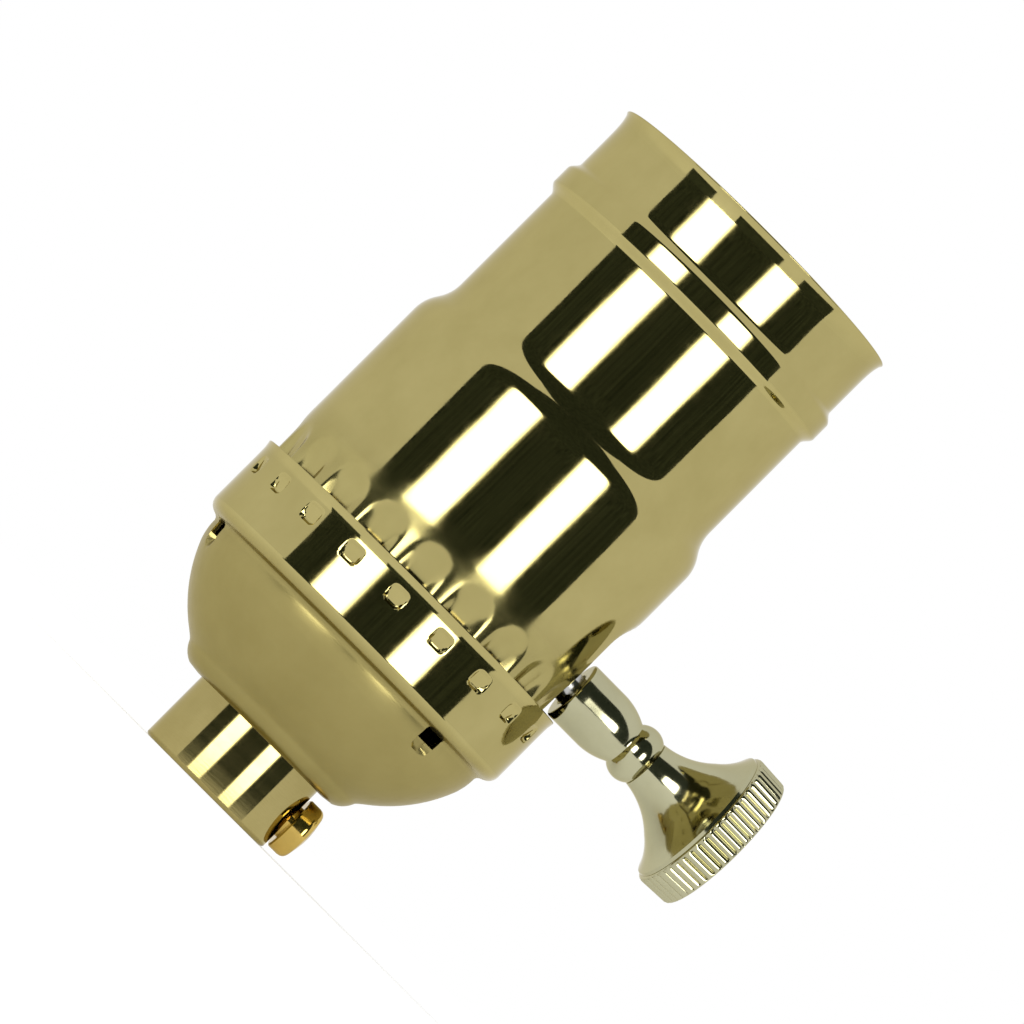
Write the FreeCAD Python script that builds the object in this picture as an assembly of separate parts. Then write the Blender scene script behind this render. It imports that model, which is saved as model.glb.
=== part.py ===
import FreeCAD, Part
import math
import os

# Turn-knob lamp holder for a medium screw lamp, in millimetres.
# Origin: centre of the hub's bottom face. +Z runs along the axis to the lamp mouth.
# +X runs along the switch shaft towards the knob.
# The radii build outwards from the lamp's thread, and the heights build up from the hub.

V = FreeCAD.Vector
Z = V(0, 0, 1)
X = V(1, 0, 0)

# Sheet and fits
brass_wall = 0.45
run_fit = 0.05
seat_gap = 0.02
over = 1.0

# Lamp's screw shell and the fibre sleeve round it
lamp_thread_r = 13.3
screw_wall = 0.4
screw_r = lamp_thread_r + screw_wall
screw_corner_r = 0.6
screw_height = 25.4
cup_in = 1.0
cup_height = 5.3
cup_shoulder = 1.6
screw_lip = 0.35
screw_lip_height = 1.2
liner_room = 0.85
liner_wall = 0.55
liner_bore_r = screw_r + liner_room
liner_r = liner_bore_r + liner_wall
liner_fit = 0.12

# Shell radii, from the sleeve outwards
neck_fit = 0.32
neck_r = liner_r + neck_fit + brass_wall
bead_out = 0.66
bead_r = neck_r + bead_out
flare_out = 0.21
flare_r = neck_r + flare_out
flat_x = liner_r + liner_fit + brass_wall
flat_depth = 1.63
shell_r = flat_x + flat_depth

# Cap radii, from the shell outwards
skirt_fit = 0.2
skirt_r = shell_r + skirt_fit + brass_wall
skirt_flare = 0.15
ridge_round = 0.47
ridge_in = 0.99
valley_in = 1.33
dome_top_in = 1.55
dome_mid_in = 3.41

# Hub, a turned nipple with a threaded bore, clinched over inside the cap
hub_r = 7.36
hub_height = 7.1
hub_bore_r = 4.4
hub_chamfer = 0.35
clinch_in = 1.46
clinch_r = hub_r - clinch_in
clinch_lip = 1.0
clinch_lip_r = clinch_r + clinch_lip
clinch_height = 0.5
clinch_bevel = 0.3

# Cap foot and dome
foot_out = 1.24
foot_r = hub_r + foot_out
foot_round = (1.25, 0.66)
foot_edge = (1.9, 1.65)
dome_foot = (2.36, 2.06)
dome_mid_height = 5.7
dome_height = 10.35
valley_height = 10.78
ridge_low_height = 11.1
ridge_high_height = 11.52
ridge_round_height = 11.95
skirt_low_height = 12.6
skirt_height = 6.8
skirt_flare_height = 1.0
skirt_low = hub_height + skirt_low_height
skirt_top = skirt_low + skirt_height

# Lances pressed into the skirt, and the three pockets in the dome
lance_count = 20
lance_phase = 9.0
lance_width = 1.95
lance_drop = 3.7
lance_height = 2.2
lance_low = skirt_top - lance_drop
lance_high = lance_low + lance_height
lance_depth = 0.6
press_draft = 0.1
pocket_angles = (-57.0, -171.0, 66.0)
pocket_width = 2.5
pocket_depth = 0.7
pocket_height = 1.3
window_height = 1.25
window_rise = 0.7
window_top = hub_height + dome_height + window_rise
window_low = window_top - window_height
pocket_low = window_low - pocket_height
dome_top_r = skirt_r - dome_top_in

# Moulded body: its flange rests on the cap's ridge, under the shell's edge
flange_fit = 0.5
flange_r = skirt_r - brass_wall - flange_fit
flange_rise = 11.8
flange_low = hub_height + flange_rise
flange_thick = 1.5
flange_top = flange_low + flange_thick
flange_chamfer = 0.5
body_fit = 0.55
body_r = liner_bore_r - body_fit
body_flat_in = 4.4
body_flat_y = body_r - body_flat_in
cavity_front_wall = 5.0
cavity_rear_wall = 5.6
blade_r = 4.2
contact_gap = 0.06
leaf_thick = 0.35
leaf_clear = 0.39
cavity_half_y = blade_r + contact_gap + leaf_thick + leaf_clear
cavity_front = body_r - cavity_front_wall
cavity_rear = cavity_rear_wall - body_r
under_ring_r = 11.5
under_ring_bore = 8.6
under_ring_height = 3.7
under_ring_low = flange_low - under_ring_height
wire_notch_r = 2.3
wire_notch_in = 1.6
wire_notch_y = body_r - wire_notch_in

# Switch shaft heights, and the body round them
shaft_rise = 9.5
shaft_z = flange_top + shaft_rise
shaft_r = 1.6
shaft_bearing = 2.0
shaft_rear = cavity_rear - shaft_bearing
shaft_end_gap = 0.2
cavity_below = 6.3
cavity_above = 6.1
cavity_floor = shaft_z - cavity_below
body_top = shaft_z + cavity_above

# Upper insulating block
block_thick = 3.6
block_top = body_top + block_thick
boss_r = 6.3
boss_height = 1.6
boss_fit = 0.2
boss_window_r = boss_r + boss_fit
screw_top = block_top + screw_height
liner_above = 2.4
liner_top = screw_top + liner_above

# Shell heights
shell_fit = 0.2
shell_bottom = flange_top + shell_fit
liner_lift = 0.1
liner_bottom = shell_bottom + liner_lift
body_length = 23.5
step_length = 4.5
neck_length = 11.4
bead_length = 3.95
collar_length = 4.35
flare_length = 1.6
rim_length = 0.5
step_low = shell_bottom + body_length
step_high = step_low + step_length
bead_low = step_high + neck_length
bead_high = bead_low + bead_length
flare_start = bead_high + collar_length
flare_end = flare_start + flare_length
shell_top = flare_end + rim_length

# Flutes above the skirt, and the flat and notch round the shaft
flute_width = 4.7
flute_rise = 4.3
flute_top = skirt_top + flute_rise
flute_ramp = 5.0
flute_full = flute_top - flute_ramp
flute_depth = 0.66
flute_draft = 0.3
flat_rise = 5.2
flat_ramp = 4.4
flat_full = shaft_z + flat_rise
flat_top = flat_full + flat_ramp
notch_room = 0.8
notch_r = shaft_r + notch_room

# Knob, from the gap at the shell outwards
knob_gap = 1.63
knob_end = flat_x + knob_gap
knob_edge = 0.2
stem_r = 3.12
stem_length = 3.9
taper_r = 2.37
taper_length = 2.9
taper_start = knob_end + stem_length
taper_end = taper_start + taper_length
knob_bead_out = 0.54
knob_bead_r = taper_r + knob_bead_out
knob_bead_half = 1.35
knob_bead_step = 0.12
knob_bead_x = taper_end + knob_bead_step + knob_bead_half
waist_r = 2.46
waist_step = 0.03
waist_x = knob_bead_x + knob_bead_half + waist_step
flare_mid = (0.78, 2.65)
flare_last = (2.14, 4.6)
back_mid = (1.6, 1.2)
back_last = (2.9, 2.05)
rim_out = 5.24
rim_r = waist_r + rim_out
back_length = 7.0
rim_start = waist_x + back_length
shoulder_length = 0.55
knurl_length = 2.75
knurl_start = rim_start + shoulder_length
knurl_end = knurl_start + knurl_length
rim_chamfer = 0.25
face_rise = 0.5
knob_face = knurl_end + face_rise
knurl_count = 50
knurl_depth = 0.34
knurl_groove = 0.42
knob_bore_depth = 11.2
shaft_short = 0.6

# Cap insulator
fibre_fit = 0.2
fibre_wall = 0.6
fibre_clear = 0.3
fibre_hole_r = clinch_lip_r + fibre_clear
fibre_height = 6.3

# Terminals
strap_thick = 0.8
strap_half = 3.5
strap_rise = 1.2
strap_low = flange_top + strap_rise
terminal_rise = 5.2
terminal_z = flange_top + terminal_rise
terminal_head_r = 3.4
terminal_head = 2.0
terminal_shank_r = 1.75
terminal_shank = 3.4
end_room = 0.4
slot_width = 0.9
slot_depth = 0.8
shoulder_drop = 6.4
neck_drop = 3.8
strap_shoulder = body_top - shoulder_drop
strap_neck = body_top - neck_drop

# Contacts, rivets and rotor
leaf_room = 1.2
blade_x = -4.2
blade_width = 2.2
blade_thick = 1.2
contact_half = 1.8
contact_low_x = blade_x - contact_half
contact_high_x = blade_x + contact_half
contact_reach = 2.7
leaf_low = shaft_z - contact_reach
neck_half = 2.3
neck_shift = 0.1
neck_low_x = blade_x - neck_half + neck_shift
neck_high_x = blade_x + neck_half + neck_shift
line_tab = 4.4
line_tab_y = blade_r + line_tab
rotor_r = 3.0
rotor_gap = 0.8
rotor_length = 6.6
rotor_rear = cavity_rear + rotor_gap
rivet_r = 0.9
rivet_head_r = 1.6
rivet_head = 0.6
rivet_blind = 0.6
rivet_hole = 1.0

# Centre contact
centre_half = 2.4
centre_rise = 3.4
centre_base = block_top + boss_height
centre_top = centre_base + centre_rise
contact_rear = 0.3
contact_flat = 2.0
crown_start = 0.7
crown_end = 2.2
crown_drop = 0.25
tip_out = 1.1
tip_drop = 1.4

# Cam, spring, bushing and clip
cam_x = 1.0
cam_length = 3.0
cam_r = 4.0
cam_flat = 3.45
spring_thick = 0.4
spring_half_y = 3.6
spring_half_x = 1.2
bushing_r = 2.9
bushing_flange_r = 4.2
bushing_flange = 0.8
bushing_short = 0.35
clip_thick = 0.6
clip_r = 3.1
clip_groove = 0.35
clip_mouth = 0.9
clip_gap = 0.2
clip_x = cavity_front - bushing_flange - clip_gap - clip_thick

# Assembly screws
assembly_x = 6.5
assembly_shank_r = 1.2
assembly_head_r = 2.1
assembly_head = 1.2
assembly_slot = 0.6
assembly_length = 15.5
assembly_seat = block_top + screw_wall
assembly_low = assembly_seat - assembly_length

# Set screw
set_z = 3.4
set_angle = -4.0
set_head_r = 2.83
set_head_gap = 0.17
set_head_start = hub_r + set_head_gap
set_head_height = 2.23
set_head_end = set_head_start + set_head_height
set_head_round = 0.7
set_head_dome = 0.3
set_head_edge = 0.15
set_shank_r = 1.75
set_point = 0.3
set_tip_in = 0.9
set_tip = hub_bore_r + set_tip_in
set_slot = 0.85
set_slot_depth = 1.01


def line(a, b):
    """Straight edge between two (radius, height) points."""
    return Part.LineSegment(V(a[0], 0, a[1]), V(b[0], 0, b[1])).toShape()


def arc(a, m, b):
    """Arc edge through three (radius, height) points."""
    return Part.Arc(V(a[0], 0, a[1]), V(m[0], 0, m[1]), V(b[0], 0, b[1])).toShape()


def crown(edge, apex):
    """Round arc from an outer (radius, height) point to an apex, centred on the axis."""
    rise = abs(apex[1] - edge[1])
    way = math.copysign(1.0, apex[1] - edge[1])
    r = (edge[0] ** 2 + rise ** 2) / (2 * rise)
    half = math.atan2(edge[0], r - rise) / 2
    return arc(edge, (r * math.sin(half), apex[1] - way * r * (1 - math.cos(half))), apex)


def laid(shape, height):
    """Copy turned from the main axis onto +X, at a height."""
    copy = shape.copy()
    copy.rotate(V(0, 0, 0), V(0, 1, 0), 90)
    copy.translate(V(0, 0, height))
    return copy


def ease(low, high):
    """Two equal tangent arcs that step from one vertical line to the next."""
    dr = high[0] - low[0]
    dz = high[1] - low[1]
    half = math.atan2(abs(dr), dz)
    r = dz / (2 * math.sin(2 * half))
    side = math.copysign(1.0, dr)
    mid = ((low[0] + high[0]) / 2, (low[1] + high[1]) / 2)
    first = (low[0] + side * r * (1 - math.cos(half)), low[1] + r * math.sin(half))
    last = (high[0] - side * r * (1 - math.cos(half)), high[1] - r * math.sin(half))
    return [arc(low, first, mid), arc(mid, last, high)]


def plain(edge):
    """The edge itself, or a spline in its place where its circle would cross the axis."""
    curve = edge.Curve
    if curve.TypeId != "Part::GeomCircle":
        return edge
    centre = abs(curve.Center.x)
    if centre < 1e-6 or centre > curve.Radius:
        return edge
    return curve.toBSpline(edge.FirstParameter, edge.LastParameter).toShape()


def turned(edges):
    """Full revolve of a closed outline about the main axis."""
    face = Part.Face(Part.Wire(Part.__sortEdges__([plain(edge) for edge in edges])))
    return face.revolve(V(0, 0, 0), Z, 360)


def outline(points):
    """Closed loop of straight edges."""
    return [line(points[i - 1], points[i]) for i in range(len(points))]


def filled(edges, low, high):
    """Solid of revolution inside an open outline that runs from low to high."""
    ends = [line((0, low[1]), low), line(high, (0, high[1])), line((0, high[1]), (0, low[1]))]
    return turned(edges + ends)


def inside(edges, wall, low_z, high_z):
    """Solid of the hollow that leaves an even wall under an open outline."""
    wire = Part.Wire(edges)
    sides = [wire.makeOffset2D(way * wall, 0, False, True) for way in (1, -1)]
    inner = min(sides, key=lambda side: side.BoundBox.XMax)
    points = [v.Point for v in inner.OrderedVertexes]
    ends = sorted((points[0], points[-1]), key=lambda p: p.z)
    low, high = ((ends[0].x, ends[0].z), (ends[1].x, ends[1].z))
    route = [high, (high[0], high_z), (0, high_z), (0, low_z), (low[0], low_z), low]
    pairs = [(a, b) for a, b in zip(route, route[1:]) if math.dist(a, b) > 1e-6]
    return turned(inner.Edges + [line(a, b) for a, b in pairs])


def rod(r, start, length, direction=Z):
    """Cylinder from a start point along a direction."""
    return Part.makeCylinder(r, length, start, direction)


def block(low, high):
    """Box between two corners."""
    return Part.makeBox(high[0] - low[0], high[1] - low[1], high[2] - low[2], V(*low))


def spun(shape, angle):
    """Copy turned about the main axis, in degrees."""
    copy = shape.copy()
    copy.rotate(V(0, 0, 0), Z, angle)
    return copy


def arch(x, width, low, high, up):
    """Wire in a plane of constant x: a flat end and a half-round end."""
    r = width / 2
    if up:
        spring_line = high - r
        tip = high
        base = low
    else:
        spring_line = low + r
        tip = low
        base = high
    a = V(x, -r, base)
    b = V(x, r, base)
    c = V(x, r, spring_line)
    d = V(x, -r, spring_line)
    round_end = Part.Arc(c, V(x, 0, tip), d).toShape()
    straight = [Part.LineSegment(p, q).toShape() for p, q in ((a, b), (b, c), (d, a))]
    return Part.Wire([straight[0], straight[1], round_end, straight[2]])


def pressed(r, width, low, high, depth, grow, draft, up, full=None):
    """Cutter for one pressed pocket at +X: half-round at one end, ramped floor.

    grow moves the sides and the floor out by a wall, for the inner surface.
    """
    outer_x = r + over
    inner_x = r - depth - grow
    side = width + 2 * grow
    if up:
        wide = arch(outer_x, side + 2 * draft, low, high + grow + draft, True)
        slim = arch(inner_x, side - 2 * draft, low, high + grow - draft, True)
        tip = high
        full_z = low if full is None else full
    else:
        wide = arch(outer_x, side + 2 * draft, low - grow - draft, high, False)
        slim = arch(inner_x, side - 2 * draft, low - grow + draft, high, False)
        tip = low
        full_z = high if full is None else full
    pocket = Part.makeLoft([wide, slim], True, True)
    reach = math.copysign(high - low, tip - full_z)
    floor = [
        (inner_x - over, full_z - reach),
        (inner_x, full_z - reach),
        (inner_x, full_z),
        (r - grow + depth * reach / (tip - full_z), tip + reach),
        (inner_x - over, tip + reach),
    ]
    wedge = Part.Face(Part.Wire(outline(floor))).extrude(V(0, 2 * side, 0))
    wedge.translate(V(0, -side, 0))
    return pocket.cut(wedge)


def ring(cutter, angles):
    """Copies of one cutter at several angles, as one tool."""
    return Part.makeCompound([spun(cutter, a) for a in angles])


def one(shape, name):
    """The single solid of a result."""
    solids = shape.Solids
    print(name, "solids", len(solids), "volume", round(shape.Volume, 2), "valid", shape.isValid())
    return shape if len(solids) != 1 else solids[0]


def lance_angles():
    step = 360.0 / lance_count
    return [lance_phase + step * i for i in range(lance_count)]


def cap_outline():
    """Outer line of the cap's wall, from the clinched hole to the skirt's top edge."""

    def foot(step):
        return (foot_r + step[0], hub_height + step[1])

    def dome(inset, height):
        return (skirt_r - inset, hub_height + height)

    start = (clinch_r, hub_height)
    dome_end = dome(dome_top_in, dome_height)
    ridge_low = dome(ridge_in, ridge_low_height)
    ridge_high = dome(ridge_round, ridge_high_height)
    low = (skirt_r, skirt_low)
    flare_low = (skirt_r, skirt_top - skirt_flare_height)
    flare_bow = (skirt_r + skirt_flare / 4, skirt_top - skirt_flare_height / 2)
    top = (skirt_r + skirt_flare, skirt_top)
    return [
        line(start, (foot_r, hub_height)),
        arc((foot_r, hub_height), foot(foot_round), foot(foot_edge)),
        line(foot(foot_edge), foot(dome_foot)),
        arc(foot(dome_foot), dome(dome_mid_in, dome_mid_height), dome_end),
        arc(dome_end, dome(valley_in, valley_height), ridge_low),
        line(ridge_low, ridge_high),
        arc(ridge_high, dome(ridge_round / 4, ridge_round_height), low),
        line(low, flare_low),
        arc(flare_low, flare_bow, top),
    ]


def cap():
    edges = cap_outline()
    top = (skirt_r + skirt_flare, skirt_top)
    outer = filled(edges, (clinch_r, hub_height), top)
    inner = inside(edges, brass_wall, hub_height + brass_wall, skirt_top + over)
    lance = (skirt_r, lance_width, lance_low, lance_high, lance_depth)
    outer = outer.cut(ring(pressed(*lance, 0.0, press_draft, True), lance_angles()))
    inner = inner.cut(ring(pressed(*lance, brass_wall, press_draft, True), lance_angles()))
    pocket = (dome_top_r, pocket_width, pocket_low, window_low, pocket_depth)
    outer = outer.cut(ring(pressed(*pocket, 0.0, press_draft, False), pocket_angles))
    inner = inner.cut(ring(pressed(*pocket, brass_wall, press_draft, False), pocket_angles))
    half = pocket_width / 2
    near = dome_top_r - pocket_width
    far = dome_top_r + pocket_width
    window = block((near, -half, window_low - seat_gap), (far, half, window_top))
    wall = outer.cut(ring(window, pocket_angles)).cut(inner)
    return one(wall.cut(rod(clinch_r, V(0, 0, 0), hub_height + over)), "cap")


def hub():
    seat = hub_height + brass_wall
    top = seat + clinch_height
    body = turned(outline([
        (hub_bore_r, 0),
        (hub_r - hub_chamfer, 0),
        (hub_r, hub_chamfer),
        (hub_r, hub_height),
        (clinch_r, hub_height),
        (clinch_r, seat),
        (clinch_lip_r, seat),
        (clinch_lip_r - clinch_bevel, top),
        (hub_bore_r, top),
    ]))
    hole = rod(set_shank_r + run_fit, V(0, 0, set_z), hub_r + over, X)
    return one(body.cut(spun(hole, set_angle)), "hub")


def set_screw():
    start = set_head_start
    shoulder = set_head_r - set_head_round
    dome_low = set_head_end - set_head_dome
    side_top = dome_low - set_head_round
    corner = set_head_round * math.sqrt(0.5)
    head = [
        line((0, start), (set_head_r - set_head_edge, start)),
        line((set_head_r - set_head_edge, start), (set_head_r, start + set_head_edge)),
        line((set_head_r, start + set_head_edge), (set_head_r, side_top)),
        arc((set_head_r, side_top), (shoulder + corner, side_top + corner), (shoulder, dome_low)),
        crown((shoulder, dome_low), (0, set_head_end)),
        line((0, set_head_end), (0, start)),
    ]
    neck = set_tip + set_point
    screw = turned(head).fuse(rod(set_shank_r, V(0, 0, neck), start - neck + set_head_edge))
    screw = screw.fuse(Part.makeCone(set_shank_r - set_point, set_shank_r, set_point, V(0, 0, set_tip)))
    reach = set_head_r + over
    floor = set_head_end - set_slot_depth
    screw = screw.cut(block((-reach, -set_slot / 2, floor), (reach, set_slot / 2, set_head_end + over)))
    return one(spun(laid(screw.removeSplitter(), set_z), set_angle), "set_screw")


def cap_insulator():
    """Fibre dish that follows the cap's wall at an even gap."""
    edges = cap_outline()
    gap = brass_wall + fibre_fit
    top = skirt_top + over
    dish = inside(edges, gap, hub_height + gap, top)
    dish = dish.cut(inside(edges, gap + fibre_wall, hub_height + gap + fibre_wall, top))
    dish = dish.common(rod(skirt_r, V(0, 0, hub_height), gap + fibre_height))
    return one(dish.cut(rod(fibre_hole_r, V(0, 0, 0), skirt_top)), "cap_insulator")


def shell_outline():
    """Outer line of the shell's wall, from its hidden bottom edge to the rim."""
    edges = [line((shell_r, shell_bottom), (shell_r, step_low))]
    edges += ease((shell_r, step_low), (neck_r, step_high))
    edges.append(line((neck_r, step_high), (neck_r, bead_low)))
    edges.append(arc((neck_r, bead_low), (bead_r, (bead_low + bead_high) / 2), (neck_r, bead_high)))
    edges.append(line((neck_r, bead_high), (neck_r, flare_start)))
    bow = (neck_r + flare_out / 3, flare_start + flare_length / 2)
    edges.append(arc((neck_r, flare_start), bow, (flare_r, flare_end)))
    edges.append(line((flare_r, flare_end), (flare_r, shell_top)))
    return edges


def shaft_flat(x):
    """Everything outside the flat round the shaft, eased into the round wall above."""
    far = shell_r + 2 * over
    low = shell_bottom - over
    lift = shell_r - flat_x
    edges = [line((x, low), (x, flat_full))]
    edges += ease((x, flat_full), (x + lift, flat_top))
    edges.append(line((x + lift, flat_top), (far, flat_top)))
    edges.append(line((far, flat_top), (far, low)))
    edges.append(line((far, low), (x, low)))
    tool = Part.Face(Part.Wire(edges)).extrude(V(0, 2 * shell_r, 0))
    tool.translate(V(0, -shell_r, 0))
    return tool


def shaft_notch(x_low, x_high):
    """Notch for the shaft, open at the bottom."""
    length = x_high - x_low
    top = rod(notch_r, V(x_low, 0, shaft_z), length, X)
    return top.fuse(block((x_low, -notch_r, shell_bottom - over), (x_high, notch_r, shaft_z)))


def flute_angles():
    skip = lance_phase * 1.5
    return [a for a in lance_angles() if min(a % 360, 360 - a % 360) > skip]


def shell():
    edges = shell_outline()
    outer = filled(edges, (shell_r, shell_bottom), (flare_r, shell_top))
    inner = inside(edges, brass_wall, shell_bottom - over, shell_top + over)
    low = shell_bottom - over
    size = (shell_r, flute_width, low, flute_top, flute_depth)
    cut = pressed(*size, 0.0, flute_draft, True, flute_full)
    back = pressed(*size, brass_wall, flute_draft, True, flute_full)
    outer = outer.cut(ring(cut, flute_angles())).cut(shaft_flat(flat_x))
    inner = inner.cut(ring(back, flute_angles())).cut(shaft_flat(flat_x - brass_wall))
    wall = outer.cut(inner)
    return one(wall.cut(shaft_notch(0, shell_r + over)), "shell")


def shell_liner():
    sleeve = rod(liner_r, V(0, 0, liner_bottom), liner_top - liner_bottom)
    sleeve = sleeve.cut(rod(liner_bore_r, V(0, 0, liner_bottom - over), liner_top))
    return one(sleeve.cut(shaft_notch(0, liner_r + over)), "shell_liner")


def strap_outline(y, thick, sign):
    """Flat strap standing against the body's side, screw plate below and neck above."""
    points = [
        (-strap_half, strap_low),
        (strap_half, strap_low),
        (strap_half, strap_shoulder),
        (neck_high_x, strap_neck),
        (neck_high_x, body_top),
        (neck_low_x, body_top),
        (neck_low_x, strap_neck),
        (-strap_half, strap_shoulder),
    ]
    face = Part.Face(Part.Wire(outline(points)))
    plate = face.extrude(V(0, sign * thick, 0))
    plate.translate(V(0, sign * y, 0))
    return plate


def assembly_points():
    return [(assembly_x, assembly_x), (assembly_x, -assembly_x)]


def body_base():
    flange = turned(outline([
        (0, flange_low),
        (flange_r - flange_chamfer, flange_low),
        (flange_r, flange_low + flange_chamfer),
        (flange_r, flange_top),
        (0, flange_top),
    ]))
    trunk = rod(body_r, V(0, 0, flange_low), body_top - flange_low)
    trunk = trunk.cut(beyond_flats(flange_top, body_top + over))
    foot = rod(under_ring_r, V(0, 0, under_ring_low), flange_low - under_ring_low)
    foot = foot.cut(rod(under_ring_bore, V(0, 0, 0), flange_low))
    body = trunk.fuse([flange, foot])
    body = body.cut(switch_cavity())
    for sign in (1, -1):
        body = body.cut(wire_way(sign)).cut(terminal_pit(sign))
    near = neck_low_x - seat_gap
    far = neck_high_x + seat_gap
    strap_floor = body_top - strap_thick
    body = body.cut(block((near, cavity_half_y - over, strap_floor), (far, body_r, body_top + over)))
    rivet_floor = strap_floor - leaf_thick - rivet_head - seat_gap
    tab_end = line_tab_y + seat_gap
    body = body.cut(block((near, cavity_half_y - over, rivet_floor), (far, tab_end, body_top + over)))
    for x, y in assembly_points():
        body = body.cut(rod(assembly_shank_r + seat_gap, V(x, y, assembly_low - end_room), body_top))
    return one(body.removeSplitter(), "body_base")


def beyond_flats(low, high):
    """Everything outside the body's two flats between two heights."""
    side = body_r + over
    left = block((-side, -side, low), (side, -body_flat_y, high))
    return left.fuse(block((-side, body_flat_y, low), (side, side, high)))


def switch_cavity():
    """Well for the rotor and cam, the bushing's slot and the shaft's rear bearing."""
    top = body_top + over
    half = bushing_r + seat_gap
    start = cavity_front - over
    well = block((cavity_rear, -cavity_half_y, cavity_floor), (cavity_front, cavity_half_y, top))
    slot = rod(half, V(start, 0, shaft_z), body_r, X)
    slot = slot.fuse(block((start, -half, shaft_z), (body_r + over, half, top)))
    bearing_start = shaft_rear - shaft_end_gap
    bearing = rod(shaft_r + run_fit, V(bearing_start, 0, shaft_z), cavity_rear + over - bearing_start, X)
    return well.fuse([slot, bearing])


def wire_way(sign):
    """Round-bottomed notch in the flange that a conductor passes through."""
    low = under_ring_low - over
    high = flange_top + over
    notch = rod(wire_notch_r, V(0, sign * wire_notch_y, low), high - low)
    near, far = sorted((sign * wire_notch_y, sign * (flange_r + over)))
    return notch.fuse(block((-wire_notch_r, near, low), (wire_notch_r, far, high)))


def terminal_pit(sign):
    """Blind hole behind a terminal screw."""
    start = body_flat_y - terminal_shank - end_room
    return rod(terminal_shank_r + run_fit, V(0, sign * start, terminal_z), body_r, V(0, sign, 0))


def contact_block():
    disc = rod(body_r, V(0, 0, body_top), block_thick)
    disc = disc.fuse(rod(boss_r, V(0, 0, body_top), block_thick + boss_height))
    tab_low = block_top - strap_thick
    near = neck_low_x - seat_gap
    far = neck_high_x + seat_gap
    back = body_flat_y + strap_thick + seat_gap
    under = body_top - over
    above = block_top + over
    disc = disc.cut(block((near, -back, under), (far, -body_flat_y + seat_gap, above)))
    disc = disc.cut(block((near, -body_flat_y, tab_low), (far, -boss_r, block_top)))
    disc = disc.cut(block((near, -body_flat_y, tab_low), (far, -boss_window_r, above)))
    leaf = block(
        (contact_low_x - seat_gap, -blade_r - leaf_room, under),
        (contact_high_x + seat_gap, rivet_head_r + seat_gap, body_top + leaf_thick + rivet_head))
    disc = disc.cut(leaf)
    through = block_thick + boss_height + 2 * over
    disc = disc.cut(rod(rivet_r + seat_gap, V(blade_x, 0, under), through))
    for x, y in assembly_points():
        disc = disc.cut(rod(assembly_shank_r + seat_gap, V(x, y, under), through))
    blind = tab_low - rivet_blind - rivet_hole
    disc = disc.cut(rod(rivet_r + seat_gap, V(blade_x, -shell_rivet_y(), blind), above - blind))
    return one(disc.removeSplitter(), "contact_block")


def shell_rivet_y():
    """Distance of the neutral rivet from the knob's plane."""
    return (body_flat_y + boss_window_r) / 2


def screw_outline():
    """Outer line of the screw shell's wall: corner, narrow cup, shoulder, thread wall and lip."""
    cup = screw_r - cup_in
    turn = screw_corner_r * (1 - math.sqrt(0.5))
    corner_top = block_top + screw_corner_r
    cup_top = block_top + cup_height
    wall_low = cup_top + cup_shoulder
    lip_low = screw_top - screw_lip_height
    edges = [arc((cup - screw_corner_r, block_top), (cup - turn, block_top + turn), (cup, corner_top))]
    edges.append(line((cup, corner_top), (cup, cup_top)))
    edges += ease((cup, cup_top), (screw_r, wall_low))
    edges.append(line((screw_r, wall_low), (screw_r, lip_low)))
    edges.append(line((screw_r, lip_low), (screw_r + screw_lip, screw_top)))
    return edges


def screw_shell():
    """Rolled sheet cup that takes the lamp's thread: floor, narrow cup, wall and lip."""
    base = block_top
    edges = screw_outline()
    floor_edge = (screw_r - cup_in - screw_corner_r, base)
    wall = filled(edges, floor_edge, (screw_r + screw_lip, screw_top))
    wall = wall.cut(inside(edges, screw_wall, base + screw_wall, screw_top + over))
    depth = screw_wall + 2 * over
    wall = wall.cut(rod(boss_window_r, V(0, 0, base - over), depth))
    for x, y in assembly_points():
        wall = wall.cut(rod(assembly_shank_r + seat_gap, V(x, y, base - over), depth))
    hole = rod(rivet_r + seat_gap, V(blade_x, -shell_rivet_y(), base - over), depth)
    return one(wall.cut(hole), "screw_shell")


def centre_contact():
    """Springy strip: riveted flat at the rear, rising to a rounded crown."""
    base = centre_base
    t = leaf_thick
    rear = contact_rear - boss_r
    bend = blade_x + contact_flat
    high = centre_top
    low_bend = (bend + t / 2, base)
    low_rise = (crown_start - t / 2, high - crown_drop - t)
    low_fall = (crown_end - t / 2, high - crown_drop - t)
    rise = (crown_start - t, high - crown_drop)
    fall = (crown_end, high - crown_drop)
    tip = (crown_end + tip_out, high - tip_drop)
    crown_x = (crown_start + crown_end) / 2
    edges = [
        line((rear, base), low_bend),
        line(low_bend, low_rise),
        arc(low_rise, (crown_x - t / 2, high - t), low_fall),
        line(low_fall, (tip[0] - t, tip[1] - t / 2)),
        line((tip[0] - t, tip[1] - t / 2), tip),
        line(tip, fall),
        arc(fall, (crown_x - t / 4, high), rise),
        line(rise, (bend, base + t)),
        line((bend, base + t), (rear, base + t)),
        line((rear, base + t), (rear, base)),
    ]
    strip = Part.Face(Part.Wire(edges)).extrude(V(0, 2 * centre_half, 0))
    strip.translate(V(0, -centre_half, 0))
    strip = strip.cut(rod(rivet_r + seat_gap, V(blade_x, 0, base - over), t + 2 * over))
    return one(strip, "centre_contact")


def rivet(x, y, low, high):
    """Rivet clamping what lies between two heights, with a domed head at each end."""
    def head(z, way):
        a = (rivet_head_r, z)
        b = (0, z + way * rivet_head)
        return turned([line((0, z), a), crown(a, b), line(b, (0, z))])

    body = rod(rivet_r, V(0, 0, low - seat_gap), high - low + 2 * seat_gap)
    body = body.fuse([head(high, 1), head(low, -1)])
    body.translate(V(x, y, 0))
    return body


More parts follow.
